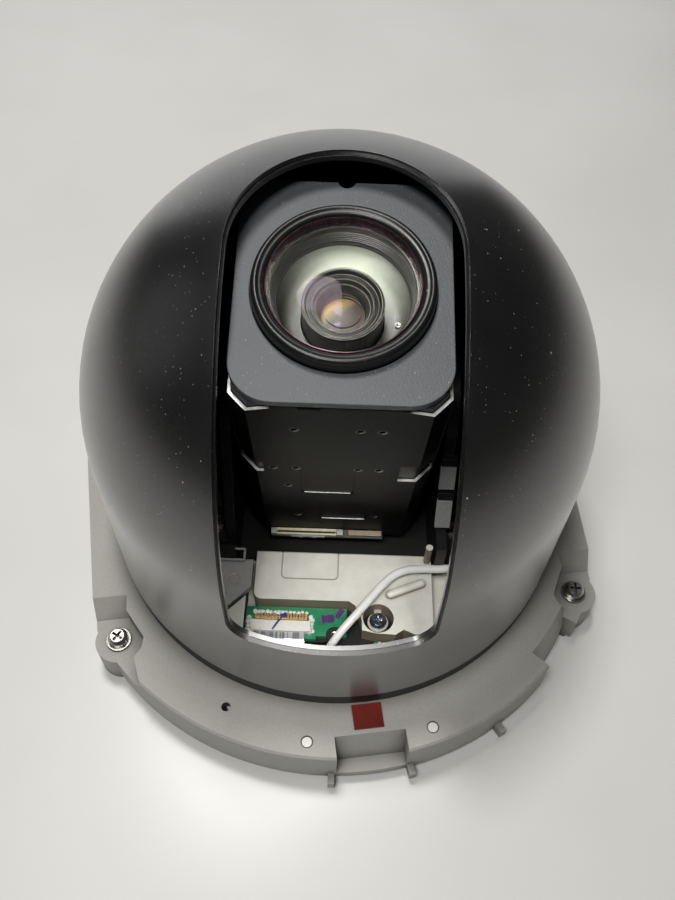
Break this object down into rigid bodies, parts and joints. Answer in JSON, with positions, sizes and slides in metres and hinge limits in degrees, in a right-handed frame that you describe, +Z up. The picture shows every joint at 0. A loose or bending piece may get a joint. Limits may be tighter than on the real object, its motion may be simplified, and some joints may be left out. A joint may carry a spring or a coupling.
{
  "type": "dome pan-tilt-zoom camera",
  "caption": "Dome camera without its clear bubble: a slotted black shroud and a tilting zoom head turn on a round cast base.",
  "frame": {"origin": "centre of the base's underside, on the pan axis", "axes": "+Z up along the pan axis through the dome, -Y towards the lens slot, +X to the right when facing the slot"},
  "size_m": [0.1669, 0.1758, 0.1372],
  "materials": {
    "painted_casting": "satin warm-grey paint over die casting",
    "cast_aluminium": "bare cast aluminium, fine grain",
    "shroud_plastic": "satin black moulded plastic",
    "black_plastic": "matte black moulded plastic",
    "plate_plastic": "fine-textured dark blue-grey plastic",
    "black_sheet": "black-coated steel sheet",
    "lens_black": "black lens barrel plastic",
    "lens_glass": "coated optical glass",
    "pale_plastic": "pale grey-green moulded ring",
    "steel": "plated steel",
    "dark_steel": "dark motor case",
    "blue_steel": "blue-white zinc plated steel",
    "sheet_steel": "folded steel sheet",
    "brass_contacts": "contact brass",
    "circuit_board": "green solder mask",
    "chip_plastic": "black epoxy packages",
    "green_plastic": "green terminal block",
    "white_plastic": "white connector plastic",
    "amber_plastic": "amber connector plastic",
    "flex_film": "printed flex film",
    "wire_sheath": "white insulation",
    "grey_plastic": "grey moulded plastic",
    "foam": "grey foam",
    "belt_rubber": "toothed rubber belt",
    "red_tape": "red tape"
  },
  "bodies": {
    "base": {"base_casting": "painted_casting", "collar_ring": "black_plastic", "cover_screws": "steel", "cover_washers": "steel", "rim_pads": "white_plastic", "tape_marker": "red_tape", "mainboard": "circuit_board", "mainboard_screws": "steel", "board_chips": "chip_plastic", "board_capacitors": "chip_plastic", "network_jack": "steel", "power_terminal": "green_plastic", "reset_switch": "chip_plastic", "slip_ring_stator": "black_plastic", "pan_bearing_outer": "steel", "pan_pulley_fixed": "black_plastic"},
    "reset_button": {"reset_plunger": "white_plastic"},
    "rotor": {"rotor_chassis": "cast_aluminium", "shroud": "shroud_plastic", "shroud_screws": "dark_steel", "chassis_cover": "cast_aluminium", "chassis_screws": "blue_steel", "rotor_board": "circuit_board", "flex_connector": "white_plastic", "flex_latch": "amber_plastic", "flex_cable": "flex_film", "white_wire": "wire_sheath", "wire_plug": "white_plastic", "yoke_left": "black_plastic", "yoke_right": "black_plastic", "yoke_screws": "steel", "tilt_bearings": "steel", "tilt_motor": "dark_steel", "tilt_motor_bracket": "sheet_steel", "tilt_belt": "belt_rubber", "pan_motor": "dark_steel", "pan_belt": "belt_rubber", "pan_bearing_inner": "steel", "slip_ring_rotor": "brass_contacts", "side_bracket": "grey_plastic", "foam_pads": "foam"},
    "pan_motor_pulley": {"pan_motor_shaft": "steel"},
    "tilt_motor_pulley": {"tilt_motor_shaft": "steel"},
    "camera_head": {"front_plate": "plate_plastic", "lens_barrel": "lens_black", "front_glass": "lens_glass", "baffle_rings": "lens_black", "reflector_ring": "pale_plastic", "block_housing": "black_plastic", "underside_panel": "black_sheet", "head_bracket": "black_sheet", "rear_board": "circuit_board", "rear_connectors": "amber_plastic", "head_screws": "steel", "guide_rods": "steel", "tilt_trunnions": "steel", "tilt_pulley": "black_plastic"},
    "zoom_group": {"zoom_group": "lens_black"},
    "focus_group": {"focus_group": "lens_black"}
  },
  "joints": [
    {"name": "pan", "type": "hinge", "parent": "base", "child": "rotor", "pos_m": [0, 0, 0.0095], "axis": [0, 0, 1], "continuous": true},
    {"name": "tilt", "type": "hinge", "parent": "rotor", "child": "camera_head", "pos_m": [0, 0, 0.069], "axis": [1, 0, 0], "range_deg": [-14, 76]},
    {"name": "pan_drive", "type": "hinge", "parent": "rotor", "child": "pan_motor_pulley", "pos_m": [0.047, 0.014, 0.011], "axis": [0, 0, 1], "continuous": true},
    {"name": "tilt_drive", "type": "hinge", "parent": "rotor", "child": "tilt_motor_pulley", "pos_m": [-0.036, 0.002, 0.034], "axis": [1, 0, 0], "range_deg": [-40, 200]},
    {"name": "zoom_drive", "type": "slide", "parent": "camera_head", "child": "zoom_group", "axis": [0, -0.2419, 0.9703], "range_m": [-0.009, 0.003]},
    {"name": "focus_drive", "type": "slide", "parent": "camera_head", "child": "focus_group", "axis": [0, -0.2419, 0.9703], "range_m": [-0.004, 0.006]},
    {"name": "reset_press", "type": "slide", "parent": "base", "child": "reset_button", "axis": [0, 0, -1], "range_m": [0, 0.0005], "stiffness_N_per_m": 2000, "springref_m": -0.0001}
  ],
  "couplings": [
    {"joint": "pan_drive", "follows": "pan", "ratio": -5.5357},
    {"joint": "tilt_drive", "follows": "tilt", "ratio": 2.6}
  ]
}
